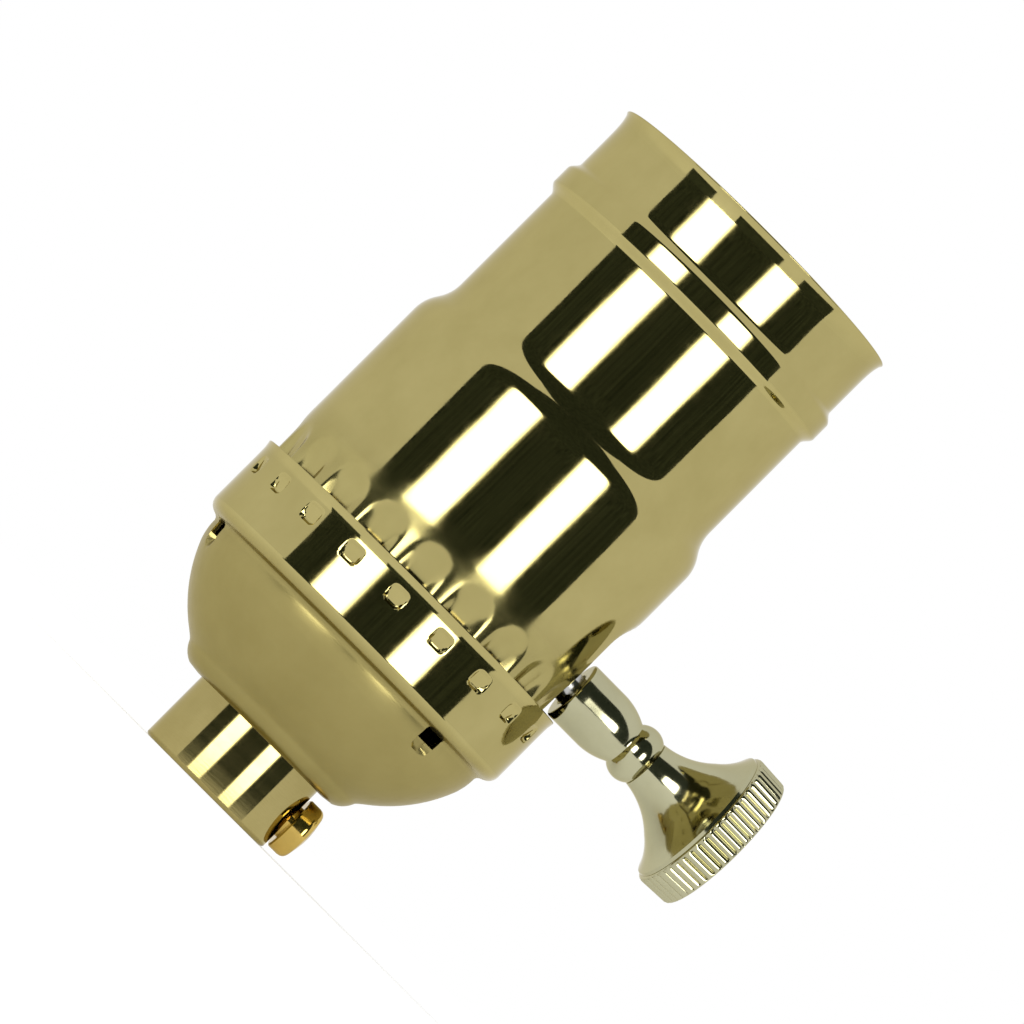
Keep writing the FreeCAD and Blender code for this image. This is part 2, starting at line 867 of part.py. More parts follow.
def contact_rivet():
    low = body_top
    high = block_top + boss_height + leaf_thick
    return one(rivet(blade_x, 0, low, high), "contact_rivet")


def shell_rivet():
    y = -shell_rivet_y()
    low = block_top - strap_thick - rivet_blind
    high = block_top + screw_wall
    shank = rod(rivet_r, V(blade_x, y, low), high - low)
    head = rivet(blade_x, y, block_top, high).common(rod(body_r, V(0, 0, high - seat_gap), block_thick))
    return one(shank.fuse(head).removeSplitter(), "shell_rivet")


def assembly_screws():
    screws = []
    seat = assembly_seat
    half = assembly_slot / 2
    reach = assembly_head_r + over
    floor = seat + assembly_head / 2
    for x, y in assembly_points():
        screw = rod(assembly_shank_r, V(x, y, assembly_low), assembly_length)
        screw = screw.fuse(rod(assembly_head_r, V(x, y, seat), assembly_head))
        slot = block((x - reach, y - half, floor), (x + reach, y + half, seat + assembly_head + over))
        screws.append(one(screw.cut(slot).removeSplitter(), "assembly_screw"))
    return Part.makeCompound(screws)


def terminal_hole(sign):
    return rod(terminal_shank_r + run_fit, V(0, 0, terminal_z), body_r, V(0, sign, 0))


def hot_plate():
    plate = strap_outline(body_flat_y, strap_thick, 1)
    tongue = block(
        (neck_low_x, blade_r + contact_gap, body_top - strap_thick),
        (neck_high_x, body_flat_y + strap_thick / 2, body_top))
    plate = plate.fuse(tongue).cut(terminal_hole(1))
    under = body_top - strap_thick - over
    hole = rod(rivet_r + seat_gap, V(blade_x, line_rivet_y(), under), strap_thick + 2 * over)
    return one(plate.cut(hole).removeSplitter(), "hot_plate")


def neutral_plate():
    plate = strap_outline(body_flat_y, strap_thick, -1)
    outer = -body_flat_y - strap_thick
    tab_low = block_top - strap_thick
    plate = plate.fuse(block((neck_low_x, outer, strap_neck), (neck_high_x, -body_flat_y, block_top)))
    plate = plate.fuse(block((neck_low_x, outer, tab_low), (neck_high_x, -boss_window_r, block_top)))
    plate = plate.cut(terminal_hole(-1))
    hole = rod(rivet_r + seat_gap, V(blade_x, -shell_rivet_y(), tab_low - over), strap_thick + 2 * over)
    return one(plate.cut(hole).removeSplitter(), "neutral_plate")


def terminal_screw(sign, name):
    face = body_flat_y + strap_thick
    top = face + terminal_head
    start = body_flat_y - terminal_shank
    reach = terminal_head_r + over
    half = slot_width / 2
    screw = rod(terminal_head_r, V(0, 0, face), terminal_head)
    screw = screw.fuse(rod(terminal_shank_r, V(0, 0, start), top - slot_depth - start))
    screw = screw.cut(block((-reach, -half, top - slot_depth), (reach, half, top + over)))
    screw.rotate(V(0, 0, 0), X, -90 * sign)
    screw.translate(V(0, 0, terminal_z))
    return one(screw.removeSplitter(), name)


def line_rivet_y():
    return (blade_r + line_tab_y) / 2


def line_contact():
    """Leaf that hangs from the hot plate's tongue and wipes the rotor's blade."""
    face = blade_r + contact_gap
    top = body_top - strap_thick
    low = top - leaf_thick
    tab = block((contact_low_x, face, low), (contact_high_x, line_tab_y, top))
    leaf = block((contact_low_x, face, leaf_low), (contact_high_x, face + leaf_thick, top))
    hole = rod(rivet_r + seat_gap, V(blade_x, line_rivet_y(), low - over), leaf_thick + 2 * over)
    return one(tab.fuse(leaf).cut(hole).removeSplitter(), "line_contact")


def line_rivet():
    """Rivet filed flush on top, under the block."""
    low = body_top - strap_thick - leaf_thick
    shank = rivet(blade_x, line_rivet_y(), low, body_top)
    return one(shank.common(rod(body_r, V(0, 0, cavity_floor), body_top - cavity_floor)), "line_rivet")


def load_contact():
    """Leaf under the centre contact's rivet, on the blade's other side."""
    face = -blade_r - contact_gap
    top = body_top + leaf_thick
    tab = block((contact_low_x, face - leaf_thick, body_top), (contact_high_x, rivet_head_r, top))
    leaf = block((contact_low_x, face - leaf_thick, leaf_low), (contact_high_x, face, top))
    hole = rod(rivet_r + seat_gap, V(blade_x, 0, body_top - over), leaf_thick + 2 * over)
    return one(tab.fuse(leaf).cut(hole).removeSplitter(), "load_contact")


def rotor():
    drum = rod(rotor_r, V(rotor_rear, 0, shaft_z), rotor_length, X)
    drum = drum.cut(rod(shaft_r, V(rotor_rear - over, 0, shaft_z), rotor_length + 2 * over, X))
    half = blade_width / 2
    half_thick = blade_thick / 2
    reach = rotor_r + over
    slot = block((blade_x - half, -reach, shaft_z - half_thick), (blade_x + half, reach, shaft_z + half_thick))
    return one(drum.cut(slot), "rotor")


def rotor_contact():
    """Cross blade with rounded wiping ends, pierced by the shaft."""
    half = blade_width / 2
    half_thick = blade_thick / 2
    start = blade_x - half
    bar = block((start, -blade_r, shaft_z - half_thick), (blade_x + half, blade_r, shaft_z + half_thick))
    bar = bar.common(rod(blade_r, V(start, 0, shaft_z), blade_width, X))
    bar = bar.cut(rod(shaft_r, V(start - over, 0, shaft_z), blade_width + 2 * over, X))
    return Part.makeCompound(bar.removeSplitter().Solids)


def switch_cam():
    """Drum with four flats, one for each click."""
    end = cam_x + cam_length
    cam = rod(cam_r, V(cam_x, 0, shaft_z), cam_length, X)
    cam = cam.common(block((cam_x, -cam_flat, shaft_z - cam_flat), (end, cam_flat, shaft_z + cam_flat)))
    return one(cam.cut(rod(shaft_r, V(cam_x - over, 0, shaft_z), cam_length + 2 * over, X)), "switch_cam")


def detent_spring():
    """Bowed leaf on the cavity's floor under the cam."""
    top = shaft_z - cam_r - run_fit
    foot = cavity_floor
    mid_x = cam_x + cam_length / 2
    bow = Part.Arc(V(0, -spring_half_y, foot), V(0, 0, top), V(0, spring_half_y, foot)).toShape()
    strips = [Part.Wire([bow]).makeOffset2D(way * spring_thick, 0, True, True) for way in (1, -1)]
    strip = min(strips, key=lambda side: side.BoundBox.ZMax)
    solid = strip.extrude(V(2 * spring_half_x, 0, 0))
    solid.translate(V(mid_x - spring_half_x, 0, 0))
    room = block((cavity_rear, -cavity_half_y, foot), (cavity_front, cavity_half_y, shaft_z))
    return one(solid.common(room), "detent_spring")


def switch_shaft():
    end = knob_end + knob_bore_depth - shaft_short
    shaft = rod(shaft_r, V(shaft_rear, 0, shaft_z), end - shaft_rear, X)
    groove = rod(shaft_r + over, V(clip_x, 0, shaft_z), clip_thick, X)
    groove = groove.cut(rod(shaft_r - clip_groove, V(clip_x, 0, shaft_z), clip_thick, X))
    return one(shaft.cut(groove), "switch_shaft")


def shaft_bushing():
    """Flanged bearing in the slot of the body's front wall."""
    start = cavity_front - bushing_flange
    bush = rod(bushing_r, V(start, 0, shaft_z), body_r - bushing_short - start, X)
    bush = bush.fuse(rod(bushing_flange_r, V(start, 0, shaft_z), bushing_flange, X))
    return one(bush.cut(rod(shaft_r + run_fit, V(0, 0, shaft_z), body_r, X)), "shaft_bushing")


def shaft_clip():
    before = clip_x - over
    after = clip_x + clip_thick + over
    clip = rod(clip_r, V(clip_x, 0, shaft_z), clip_thick, X)
    clip = clip.cut(rod(shaft_r - clip_groove, V(before, 0, shaft_z), after - before, X))
    mouth = block((before, -clip_mouth, shaft_z - clip_r - over), (after, clip_mouth, shaft_z))
    return one(clip.cut(mouth), "shaft_clip")


def knob_outline():
    """Half section of the knob as (radius, distance from the lamp axis)."""
    corner = (stem_r - knob_edge, knob_end)
    side = (stem_r, knob_end + knob_edge)
    bead_foot = (taper_r, knob_bead_x - knob_bead_half)
    waist = (waist_r, waist_x)
    flare_end = (waist_r + flare_last[0], waist_x + flare_last[1])
    back_end = (flare_end[0] + back_last[0], flare_end[1] + back_last[1])
    edge = (rim_r - rim_chamfer, knurl_end + rim_chamfer)
    return [
        line((0, knob_end), corner),
        line(corner, side),
        line(side, (stem_r, taper_start)),
        line((stem_r, taper_start), (taper_r, taper_end)),
        line((taper_r, taper_end), bead_foot),
        arc(bead_foot, (knob_bead_r, knob_bead_x), waist),
        arc(waist, (waist_r + flare_mid[0], waist_x + flare_mid[1]), flare_end),
        arc(flare_end, (flare_end[0] + back_mid[0], flare_end[1] + back_mid[1]), back_end),
        line(back_end, (rim_r, rim_start)),
        line((rim_r, rim_start), (rim_r, knurl_end)),
        line((rim_r, knurl_end), edge),
        crown(edge, (0, knob_face)),
        line((0, knob_face), (0, knob_end)),
    ]


def knob():
    body = turned(knob_outline())
    deep = rim_r - knurl_depth
    out = rim_r + over
    wide = knurl_groove / 2 * (out - deep) / knurl_depth
    corners = [V(deep, 0, knurl_start), V(out, wide, knurl_start), V(out, -wide, knurl_start)]
    face = Part.Face(Part.makePolygon(corners + corners[:1]))
    groove = face.extrude(V(0, 0, knob_face - knurl_start + over))
    body = body.cut(ring(groove, [360.0 * i / knurl_count for i in range(knurl_count)]))
    body = body.cut(rod(shaft_r + seat_gap, V(0, 0, knob_end - over), knob_bore_depth + over))
    return one(laid(body, shaft_z), "knob")


def write(name, shape):
    shape.exportStep("parts/" + name + ".step")


os.makedirs("parts", exist_ok=True)
write("cap", cap())
write("hub", hub())
write("set_screw", set_screw())
write("cap_insulator", cap_insulator())
write("shell", shell())
write("shell_liner", shell_liner())
write("body_base", body_base())
write("contact_block", contact_block())
write("screw_shell", screw_shell())
write("centre_contact", centre_contact())
write("contact_rivet", contact_rivet())
write("shell_rivet", shell_rivet())
write("assembly_screws", assembly_screws())
write("hot_plate", hot_plate())
write("neutral_plate", neutral_plate())
write("hot_screw", terminal_screw(1, "hot_screw"))
write("neutral_screw", terminal_screw(-1, "neutral_screw"))
write("line_contact", line_contact())
write("line_rivet", line_rivet())
write("load_contact", load_contact())
write("rotor", rotor())
write("rotor_contact", rotor_contact())
write("switch_cam", switch_cam())
write("detent_spring", detent_spring())
write("switch_shaft", switch_shaft())
write("shaft_bushing", shaft_bushing())
write("shaft_clip", shaft_clip())
write("knob", knob())
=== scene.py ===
import math

import bpy
import numpy as np
from mathutils import Matrix, Vector


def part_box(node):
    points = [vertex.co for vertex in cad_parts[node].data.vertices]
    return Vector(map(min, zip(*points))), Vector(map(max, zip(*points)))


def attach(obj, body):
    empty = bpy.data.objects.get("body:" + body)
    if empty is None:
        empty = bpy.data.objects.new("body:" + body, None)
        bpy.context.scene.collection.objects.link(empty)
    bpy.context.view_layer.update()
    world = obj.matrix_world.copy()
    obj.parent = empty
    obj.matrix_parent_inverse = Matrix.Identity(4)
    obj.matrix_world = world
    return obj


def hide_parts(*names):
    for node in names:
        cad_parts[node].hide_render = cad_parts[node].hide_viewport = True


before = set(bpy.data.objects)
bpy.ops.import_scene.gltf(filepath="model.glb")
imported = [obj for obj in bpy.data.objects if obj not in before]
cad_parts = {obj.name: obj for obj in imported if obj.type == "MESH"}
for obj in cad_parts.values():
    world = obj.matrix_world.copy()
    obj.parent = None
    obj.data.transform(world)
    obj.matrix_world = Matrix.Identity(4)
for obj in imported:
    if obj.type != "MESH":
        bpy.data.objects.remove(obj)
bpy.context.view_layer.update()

MM = 0.001

# Sizes in millimetres, and angles in degrees round the lamp axis. That axis is Z, and X is the knob's.
# First the wall of the sheet, and how far under a rim it is measured level and how fast that fades.
# Then the pitch and the first place of the lances and scoops.
SHEET, RIM_LEVEL, RIM_BLEND = 0.45, 0.32, 0.8
PITCH, FIRST = 18.0, 9.0

# Shell: distances from the axis, heights, then its bead, rim, draw-in, flat, notch and scoops
SHELL_R, NECK_R, BEAD_R, FLARE_R, FLAT_X = 17.3, 15.87, 16.53, 16.08, 15.67
SHELL_LOW, STEP_LOW, STEP_HIGH, BEAD_HIGH, SHELL_TOP = 20.6, 44.1, 48.6, 63.95, 70.38
BEAD_HALF, BEAD_CREST = 1.9, 0.85
FLARE_HIGH, FLARE_POWER = 69.9, 8
CURL_LOW, CURL_OUT, EDGE_ROUND = 69.98, 0.07, 0.12
DRAW_TOP, DRAW_RUN, DRAW_IN = 31.2, 2.2, 0.09
FLAT_TOP, FLAT_END, FLAT_CORNER = 35.1, 39.5, 0.22
SHAFT_Z, NOTCH_R, LEVEL_ROW = 29.9, 2.4, 34.6
FLUTE_HALF, FLUTE_TOP, FLUTE_DEEP = 2.35, 30.4, 0.66
FLUTE_OVER, FLUTE_RUN, FLUTE_EDGE = 0.9, 5.6, 1.5

# Cap: its hole and skirt, the lances, and the pockets with their windows
HOLE_R, SKIRT_R, SKIRT_TOP, SKIRT_OUT = 5.9, 17.95, 26.5, 0.15
LANCE_WIDE, LANCE_TALL, LANCE_MID, LANCE_DEEP, LANCE_EDGE = 1.05, 0.98, 24.15, 0.46, 0.3
POCKETS, POCKET_HALF, POCKET_LOW = (-57.0, -171.0, 66.0), 1.25, 15.6
POCKET_R, POCKET_DEEP, POCKET_EDGE = 16.6, 0.7, 0.35
WINDOW_R, WINDOW_LOW, WINDOW_TOP = 16.75, 16.9, 18.15

# Hub with its pipe thread, and the screw shell with the lamp's thread
HUB_R, BORE_R, HUB_TOP = 7.36, 4.4, 7.1
PIPE_PITCH, PIPE_DEEP = 0.94, 0.46
LAMP_PITCH, LAMP_DEEP, SCREW_SHELL_WALL = 3.63, 0.85, 0.4

# Knob: its two ends and the bottom of its hole along X, its hole, and the ridges of its rim
KNOB_START, KNOB_FACE, KNOB_HOLE_END, KNOB_HOLE_R = 17.3, 37.75, 26.3, 1.65
RIDGES, RIDGE_COLUMNS, RIDGE_DEEP = 50, 9, 0.3


def smooth(t):
    """Zero below 0, one above 1, and an even S between them."""
    t = np.clip(t, 0.0, 1.0)
    return t * t * (3.0 - 2.0 * t)


def soft_min(a, b, width):
    """The smaller of two, with a rounded corner of that width where they cross."""
    h = np.clip(0.5 + 0.5 * (b - a) / width, 0.0, 1.0)
    return b * (1.0 - h) + a * h - width * h * (1.0 - h)


def arc_points(a, b, c, count):
    """Points on the circle through three points, from the first to the last."""
    a, b, c = (np.array(p, float) for p in (a, b, c))
    rows = np.array([b - a, c - a])
    centre = np.linalg.solve(rows, 0.5 * np.array([b @ b - a @ a, c @ c - a @ a]))
    angle = [math.atan2(*(p - centre)[::-1]) for p in (a, b, c)]
    turn = (angle[2] - angle[0]) % (2 * math.pi)
    if (angle[1] - angle[0]) % (2 * math.pi) > turn:
        turn -= 2 * math.pi
    t = angle[0] + turn * np.linspace(0, 1, count)
    radius = np.linalg.norm(a - centre)
    return np.stack([centre[0] + radius * np.cos(t), centre[1] + radius * np.sin(t)], 1)


def eased(z, low, high, start, end):
    """Radius that goes from start to end on two equal arcs, each tangent to the axis."""
    rise = abs(start - end)
    radius = (rise**2 + (high - low) ** 2) / (4 * rise)
    half = (high - low) / 2
    t = np.clip(z, low, high)
    near = radius - np.sqrt(radius**2 - np.minimum(t - low, half) ** 2)
    far = radius - np.sqrt(radius**2 - np.minimum(high - t, half) ** 2)
    drop = np.where(t < low + half, near, rise - far)
    return start + drop * np.sign(end - start)


def wrapped(angle):
    """Degrees brought to -180..180."""
    return (angle + 180.0) % 360.0 - 180.0


def from_nearest(degrees):
    """Degrees from the middle of the nearest lance or scoop. They are one pitch apart all round."""
    return wrapped(wrapped(degrees - FIRST) * 360 / PITCH) * PITCH / 360


def ring_faces(across, along, closed):
    """Four-sided faces of a grid that closes round its first way, and round its second if told."""
    i = np.arange(across)[:, None]
    j = np.arange(along if closed else along - 1)[None, :]
    near, far = i * along, ((i + 1) % across) * along
    up = (j + 1) % along
    return np.stack([near + j, far + j, far + up, near + up], -1).reshape(-1, 4)


def placed(name, data):
    """A new object for a mesh, a lamp or a camera, put into the scene."""
    item = bpy.data.objects.new(name, data)
    bpy.context.scene.collection.objects.link(item)
    return item


NO_FANS = np.zeros((0, 3), int)


def mesh_piece(name, points, quads, fans, material, edge):
    """A mesh object at the origin from points in millimetres, four-sided and three-sided faces."""
    mesh = bpy.data.meshes.new(name)
    corners = np.concatenate([quads.ravel(), fans.ravel()]).astype(np.int32)
    sizes = np.concatenate([np.full(len(quads), 4), np.full(len(fans), 3)])
    starts = np.concatenate([[0], np.cumsum(sizes)[:-1]]).astype(np.int32)
    mesh.vertices.add(len(points))
    mesh.vertices.foreach_set("co", (points * MM).astype(np.float32).ravel())
    mesh.loops.add(len(corners))
    mesh.loops.foreach_set("vertex_index", corners)
    mesh.polygons.add(len(sizes))
    mesh.polygons.foreach_set("loop_start", starts)
    mesh.polygons.foreach_set("use_smooth", np.ones(len(sizes), bool))
    mesh.update(calc_edges=True)
    mesh.set_sharp_from_angle(angle=math.radians(edge))
    mesh.materials.append(material)
    return placed(name, mesh)


def closed_ring(name, grid, material, edge):
    """A ring piece: its profile is a closed line, carried once round the axis."""
    quads = ring_faces(*grid.shape[:2], True)
    return mesh_piece(name, grid.reshape(-1, 3), quads, NO_FANS, material, edge)


def poled(name, grid, first, last, material, edge):
    """A solid of revolution: its profile runs from one point on the axis to another."""
    across, along = grid.shape[:2]
    points = np.concatenate([grid.reshape(-1, 3), [first, last]])
    i = np.arange(across)
    n = (i + 1) % across
    start, end = across * along, across * along + 1
    low = np.stack([n * along, i * along, np.full(across, start)], 1)
    high = np.stack([i * along + along - 1, n * along + along - 1, np.full(across, end)], 1)
    fans = np.concatenate([low, high])
    return mesh_piece(name, points, ring_faces(across, along, False), fans, material, edge)


def drawn_sheet(name, outer, keep, material, edge):
    """Sheet of even wall: the outer grid, and the same grid moved in along its normals, which turn
    level near the upper rim, joined by a strip along each edge where the kept faces end."""
    across, along = outer.shape[:2]
    around = np.roll(outer, -1, 0) - np.roll(outer, 1, 0)
    upward = np.gradient(outer, axis=1)
    normal = np.cross(around, upward)
    under_rim = outer[..., 2].max() - outer[..., 2]
    normal[..., 2] *= smooth((under_rim - RIM_LEVEL) / RIM_BLEND)
    normal /= np.linalg.norm(normal, axis=2, keepdims=True)
    points = np.concatenate([outer.reshape(-1, 3), (outer - SHEET * normal).reshape(-1, 3)])
    inner = across * along
    quads = ring_faces(across, along, False)[keep.ravel()]
    parts = [quads, quads[:, ::-1] + inner]
    blank = np.zeros((across, 1), bool)
    above = np.concatenate([keep, blank], 1)
    below = np.concatenate([blank, keep], 1)
    for mask, flip in ((above & ~below, False), (below & ~above, True)):
        i, j = np.nonzero(mask)
        a, b = i * along + j, ((i + 1) % across) * along + j
        a, b = (b, a) if flip else (a, b)
        parts.append(np.stack([b, a, a + inner, b + inner], 1))
    before = np.roll(keep, 1, 0)
    for mask, flip in ((keep & ~before, False), (before & ~keep, True)):
        i, j = np.nonzero(mask)
        a, b = i * along + j, i * along + j + 1
        a, b = (b, a) if flip else (a, b)
        parts.append(np.stack([a, b, b + inner, a + inner], 1))
    used, quads = np.unique(np.concatenate(parts), return_inverse=True)
    return mesh_piece(name, points[used], quads.reshape(-1, 4), NO_FANS, material, edge)


def around_axis(radius, height, degrees):
    """Grid of points at a radius and a height for each angle round Z."""
    a = np.radians(degrees)[:, None]
    return np.stack(np.broadcast_arrays(radius * np.cos(a), radius * np.sin(a), height), -1)


# Materials

EDGE_TINT = (0.78, 0.74, 0.62)


def new_material(name):
    """A material with its node tree and its main shader."""
    material = bpy.data.materials.new(name)
    material.use_nodes = True
    tree = material.node_tree
    return material, tree, tree.nodes["Principled BSDF"]


def pattern(tree, kind, scale, stretch=(1, 1, 1), **inputs):
    """A procedural texture on the piece's own coordinates, stretched along an axis where asked."""
    place = tree.nodes.new("ShaderNodeTexCoord")
    mapping = tree.nodes.new("ShaderNodeMapping")
    mapping.inputs["Scale"].default_value = stretch
    texture = tree.nodes.new(kind)
    texture.inputs["Scale"].default_value = scale
    for key, value in inputs.items():
        texture.inputs[key].default_value = value
    tree.links.new(place.outputs["Object"], mapping.inputs["Vector"])
    tree.links.new(mapping.outputs["Vector"], texture.inputs["Vector"])
    return texture


def spread(tree, source, low, high, start=0.3, end=0.7):
    """Maps a source's run from start to end onto a range of numbers."""
    node = tree.nodes.new("ShaderNodeMapRange")
    node.inputs["From Min"].default_value = start
    node.inputs["From Max"].default_value = end
    node.inputs["To Min"].default_value = low
    node.inputs["To Max"].default_value = high
    tree.links.new(source, node.inputs["Value"])
    return node.outputs["Result"]


def tinted(tree, source, low, high, start=0.3, end=0.7):
    """Maps a source's run from start to end onto a run between two colours."""
    ramp = tree.nodes.new("ShaderNodeValToRGB")
    ramp.color_ramp.elements[0].position = start
    ramp.color_ramp.elements[1].position = end
    ramp.color_ramp.elements[0].color = (*low, 1)
    ramp.color_ramp.elements[1].color = (*high, 1)
    tree.links.new(source, ramp.inputs["Fac"])
    return ramp.outputs["Color"]


def bumped(tree, shader, layers):
    """Chains bump nodes, each with its height source, strength and distance in metres."""
    last = None
    for source, strength, distance in layers:
        bump = tree.nodes.new("ShaderNodeBump")
        bump.inputs["Strength"].default_value = strength
        bump.inputs["Distance"].default_value = distance
        tree.links.new(source, bump.inputs["Height"])
        if last:
            tree.links.new(last, bump.inputs["Normal"])
        last = bump.outputs["Normal"]
    tree.links.new(last, shader.inputs["Normal"])


def metal(name, colour, shade, rough, wave=0.06, grain=0.03, stretch=(1, 1, 1)):
    """Polished or plated metal: faint tarnish clouds, a slow wave from drawing, fine buffing grain."""
    material, tree, shader = new_material(name)
    shader.inputs["Metallic"].default_value = 1.0
    shader.inputs["Specular Tint"].default_value = (*EDGE_TINT, 1)
    cloud = pattern(tree, "ShaderNodeTexNoise", 190, Detail=5.0, Roughness=0.6)
    tree.links.new(tinted(tree, cloud.outputs["Fac"], shade, colour), shader.inputs["Base Color"])
    smear = pattern(tree, "ShaderNodeTexNoise", 900, stretch, Detail=4.0)
    tree.links.new(spread(tree, smear.outputs["Fac"], rough[0], rough[1]), shader.inputs["Roughness"])
    slow = pattern(tree, "ShaderNodeTexNoise", 95, Detail=1.0)
    fine = pattern(tree, "ShaderNodeTexNoise", 5200, stretch, Detail=3.0)
    bumped(tree, shader, [(slow.outputs["Fac"], wave, 0.0012), (fine.outputs["Fac"], grain, 0.00002)])
    return material


def rougher_with_painted_shade_below(material, low, high, extra, painted_shade):
    """Rougher below a height, with painted shade there: the base colour is darkened, both fading between two
    heights in metres.
    """
    tree = material.node_tree
    shader = tree.nodes["Principled BSDF"]
    place = tree.nodes.new("ShaderNodeTexCoord")
    apart = tree.nodes.new("ShaderNodeSeparateXYZ")
    tree.links.new(place.outputs["Object"], apart.inputs["Vector"])
    more = spread(tree, apart.outputs["Z"], extra, 0.0, low, high)
    total = tree.nodes.new("ShaderNodeMath")
    tree.links.new(shader.inputs["Roughness"].links[0].from_socket, total.inputs[0])
    tree.links.new(more, total.inputs[1])
    tree.links.new(total.outputs["Value"], shader.inputs["Roughness"])
    # Painted shade: below the height the base colour is multiplied down towards the given darker colour
    height = spread(tree, apart.outputs["Z"], 0.0, 1.0, low, high)
    shade = tinted(tree, height, painted_shade, (1, 1, 1), 0.0, 1.0)
    product = tree.nodes.new("ShaderNodeVectorMath")
    product.operation = "MULTIPLY"
    tree.links.new(shader.inputs["Base Color"].links[0].from_socket, product.inputs[0])
    tree.links.new(shade, product.inputs[1])
    tree.links.new(product.outputs["Vector"], shader.inputs["Base Color"])


def moulded(name, colour, shade):
    """Moulded phenolic: dark resin with flow marks and a fine satin skin."""
    material, tree, shader = new_material(name)
    flow = pattern(tree, "ShaderNodeTexNoise", 260, (1, 1, 0.35), Detail=6.0, Distortion=0.8)
    tree.links.new(tinted(tree, flow.outputs["Fac"], shade, colour), shader.inputs["Base Color"])
    skin = pattern(tree, "ShaderNodeTexNoise", 2600, Detail=3.0)
    tree.links.new(spread(tree, skin.outputs["Fac"], 0.3, 0.46), shader.inputs["Roughness"])
    bumped(tree, shader, [(skin.outputs["Fac"], 0.25, 0.00003)])
    return material


def pressed_fibre(name, colour, shade):
    """Vulcanised paper: long pale fibres in a matt sheet."""
    material, tree, shader = new_material(name)
    strand = pattern(tree, "ShaderNodeTexNoise", 900, (1, 1, 0.16), Detail=8.0, Roughness=0.7)
    speck = pattern(tree, "ShaderNodeTexVoronoi", 1500)
    tree.links.new(tinted(tree, strand.outputs["Fac"], shade, colour), shader.inputs["Base Color"])
    tree.links.new(spread(tree, strand.outputs["Fac"], 0.62, 0.85), shader.inputs["Roughness"])
    bumped(tree, shader, [(strand.outputs["Fac"], 0.5, 0.00006), (speck.outputs["Distance"], 0.2, 0.00003)])
    return material


# Looks that are given by two colours and a range of roughness
drawn_look = (0.432, 0.372, 0.153), (0.392, 0.335, 0.132), (0.035, 0.075)
turned_look = (0.4, 0.335, 0.135), (0.34, 0.28, 0.105), (0.05, 0.085)
steel_look = (0.58, 0.58, 0.57), (0.44, 0.44, 0.43), (0.16, 0.3)

cap_brass = metal("cap_brass", *drawn_look)
brass = metal("polished_brass", *drawn_look)
# Painted shade: the cap's dome below its ridge and the shell's lower body round its scoops get a darker base
# colour, besides more roughness
rougher_with_painted_shade_below(cap_brass, 0.0182, 0.0195, 0.27, (0.78, 0.76, 0.7))
rougher_with_painted_shade_below(brass, 0.03, 0.0328, 0.11, (0.9, 0.9, 0.88))
knob_plating = metal("pale_plating", (0.46, 0.445, 0.29), (0.41, 0.395, 0.25), (0.08, 0.13), wave=0.02)
screw_brass = metal("screw_brass", (0.62, 0.44, 0.12), (0.5, 0.34, 0.08), (0.08, 0.16), wave=0.03)
hub_brass = metal("turned_brass", *turned_look, wave=0.01, grain=0.015, stretch=(0.1, 0.1, 1))
contact_brass = metal("contact_brass", (0.62, 0.47, 0.2), (0.5, 0.36, 0.14), (0.2, 0.36), grain=0.1)
nickel = metal("nickel_plate", (0.62, 0.6, 0.55), (0.52, 0.5, 0.45), (0.12, 0.22), wave=0.03)
steel = metal("bright_steel", *steel_look, wave=0.02, grain=0.1, stretch=(0.1, 1, 1))
phenolic = moulded("brown_phenolic", (0.055, 0.03, 0.02), (0.018, 0.011, 0.009))
red_fibre = pressed_fibre("red_fibre", (0.34, 0.12, 0.06), (0.2, 0.06, 0.03))
fibre = pressed_fibre("grey_fibre", (0.3, 0.27, 0.22), (0.15, 0.13, 0.105))

FINISHES = (
    (brass, ["shell"]),
    (cap_brass, ["cap"]),
    (hub_brass, ["hub"]),
    (knob_plating, ["knob"]),
    (screw_brass, ["set_screw"]),
    (nickel, ["neutral_screw"]),
    (fibre, ["shell_liner"]),
    (red_fibre, ["cap_insulator"]),
    (phenolic, ["body_base", "contact_block", "rotor", "switch_cam"]),
    (steel, ["assembly_screws", "detent_spring", "switch_shaft", "shaft_clip"]),
    (contact_brass, [
        "screw_shell", "centre_contact", "contact_rivet", "shell_rivet", "shaft_bushing", "hot_plate",
        "hot_screw", "neutral_plate", "line_contact", "line_rivet", "load_contact", "rotor_contact",
    ]),
)


def dress_cad():
    """Gives every solid of the frame its own finish."""
    node_finish = {name: finish for finish, names in FINISHES for name in names}
    for name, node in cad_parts.items():
        if not node.data.materials:
            node.data.materials.append(node_finish[name])
        for slot in node.material_slots:
            slot.material = node_finish[name]


# Shell


def shell_radius(z):
    """Outside radius at a height. The body goes to the neck on two arcs, and is drawn in by an even
    S below its scoops' tops. The bead adds an even S on both sides of a level crest. The flare adds
    the eighth power of the share of the way from the bead to the rim, and the rim curls out by the
    square of its own share."""
    r = eased(z, STEP_LOW, STEP_HIGH, SHELL_R, NECK_R) - DRAW_IN * smooth((DRAW_TOP - z) / DRAW_RUN)
    off_crest = np.abs(z - (BEAD_HIGH - BEAD_HALF))
    r = r + (BEAD_R - NECK_R) * smooth((BEAD_HALF - off_crest) / (BEAD_HALF - BEAD_CREST))
    share = np.clip((z - BEAD_HIGH) / (FLARE_HIGH - BEAD_HIGH), 0, 1.05)
    curl = np.clip((z - CURL_LOW) / (SHELL_TOP - EDGE_ROUND - CURL_LOW), 0, 1)
    return r + (FLARE_R - NECK_R) * share**FLARE_POWER + CURL_OUT * curl**2


